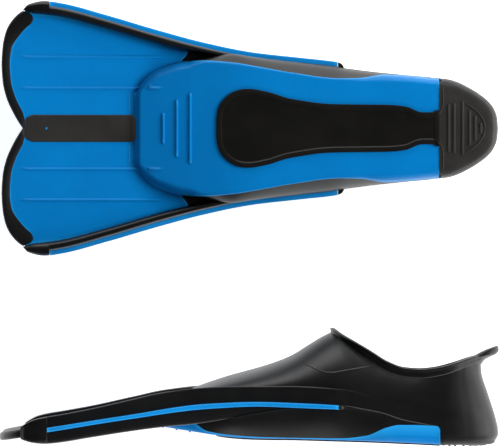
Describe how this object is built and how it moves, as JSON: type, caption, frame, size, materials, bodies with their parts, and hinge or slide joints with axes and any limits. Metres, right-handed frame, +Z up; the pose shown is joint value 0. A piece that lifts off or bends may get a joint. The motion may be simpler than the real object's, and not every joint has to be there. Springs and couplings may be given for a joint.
{
  "type": "pair of swim fins",
  "caption": "Pair of full-foot swim fins: two-lobed blue plastic blade with tall black side rails, closed rubber foot pocket with heel tab, treaded sole; each blade flexes.",
  "frame": {"origin": "on the floor under the middle of the laid-out pair's bounding box", "axes": "+X from the blade tips to the heels, +Y from the right fin to the left fin, +Z up; the left fin lies sole up, the right fin lies on its edge with its sole facing -Y"},
  "size_m": [0.4474, 0.4002, 0.2298],
  "materials": {
    "blade_blue": "satin-gloss polypropylene",
    "edge_strip_blue": "satin-gloss polypropylene, a little lighter",
    "pocket_rubber": "satin thermoplastic rubber",
    "sole_rubber": "matte thermoplastic rubber"
  },
  "bodies": {
    "left_foot_pocket": {"left_fin_blade_root": "blade_blue", "left_fin_sole_plate": "blade_blue", "left_fin_sole_insert": "sole_rubber", "left_fin_heel_sole": "sole_rubber", "left_fin_footbed": "sole_rubber", "left_fin_vamp": "pocket_rubber", "left_fin_heel_counter": "pocket_rubber", "left_fin_heel_tab": "pocket_rubber", "left_fin_outer_corner_web": "pocket_rubber", "left_fin_inner_corner_web": "pocket_rubber", "left_fin_outer_rear_rail": "pocket_rubber", "left_fin_inner_rear_rail": "pocket_rubber", "left_fin_outer_rear_edge_strip": "edge_strip_blue", "left_fin_inner_rear_edge_strip": "edge_strip_blue", "left_fin_outer_side_band": "pocket_rubber", "left_fin_inner_side_band": "pocket_rubber", "left_fin_outer_quarter": "pocket_rubber", "left_fin_inner_quarter": "pocket_rubber", "left_fin_outer_collar": "pocket_rubber", "left_fin_inner_collar": "pocket_rubber"},
    "left_blade": {"left_fin_outer_lobe": "blade_blue", "left_fin_inner_lobe": "blade_blue", "left_fin_outer_tip_bumper": "pocket_rubber", "left_fin_inner_tip_bumper": "pocket_rubber", "left_fin_outer_front_rail": "pocket_rubber", "left_fin_inner_front_rail": "pocket_rubber", "left_fin_outer_front_edge_strip": "edge_strip_blue", "left_fin_inner_front_edge_strip": "edge_strip_blue", "left_fin_center_strip": "sole_rubber", "left_fin_strip_peg": "blade_blue"},
    "right_foot_pocket": {"right_fin_blade_root": "blade_blue", "right_fin_sole_plate": "blade_blue", "right_fin_sole_insert": "sole_rubber", "right_fin_heel_sole": "sole_rubber", "right_fin_footbed": "sole_rubber", "right_fin_vamp": "pocket_rubber", "right_fin_heel_counter": "pocket_rubber", "right_fin_heel_tab": "pocket_rubber", "right_fin_outer_corner_web": "pocket_rubber", "right_fin_inner_corner_web": "pocket_rubber", "right_fin_outer_rear_rail": "pocket_rubber", "right_fin_inner_rear_rail": "pocket_rubber", "right_fin_outer_rear_edge_strip": "edge_strip_blue", "right_fin_inner_rear_edge_strip": "edge_strip_blue", "right_fin_outer_side_band": "pocket_rubber", "right_fin_inner_side_band": "pocket_rubber", "right_fin_outer_quarter": "pocket_rubber", "right_fin_inner_quarter": "pocket_rubber", "right_fin_outer_collar": "pocket_rubber", "right_fin_inner_collar": "pocket_rubber"},
    "right_blade": {"right_fin_outer_lobe": "blade_blue", "right_fin_inner_lobe": "blade_blue", "right_fin_outer_tip_bumper": "pocket_rubber", "right_fin_inner_tip_bumper": "pocket_rubber", "right_fin_outer_front_rail": "pocket_rubber", "right_fin_inner_front_rail": "pocket_rubber", "right_fin_outer_front_edge_strip": "edge_strip_blue", "right_fin_inner_front_edge_strip": "edge_strip_blue", "right_fin_center_strip": "sole_rubber", "right_fin_strip_peg": "blade_blue"}
  },
  "joints": [
    {"name": "left_blade_flex", "type": "hinge", "parent": "left_foot_pocket", "child": "left_blade", "pos_m": [-0.1039, 0.08525, 0.07597], "axis": [0, 1, 0], "range_deg": [-20, 20], "stiffness_Nm_per_rad": 8},
    {"name": "right_fin_lift", "type": "slide", "parent": "left_foot_pocket", "child": "right_foot_pocket", "axis": [0, 0, 1], "range_m": [0, 0.06]},
    {"name": "right_blade_flex", "type": "hinge", "parent": "right_foot_pocket", "child": "right_blade", "pos_m": [-0.1039, -0.17068, 0.11489], "axis": [0, 0, 1], "range_deg": [-20, 20], "stiffness_Nm_per_rad": 8}
  ]
}
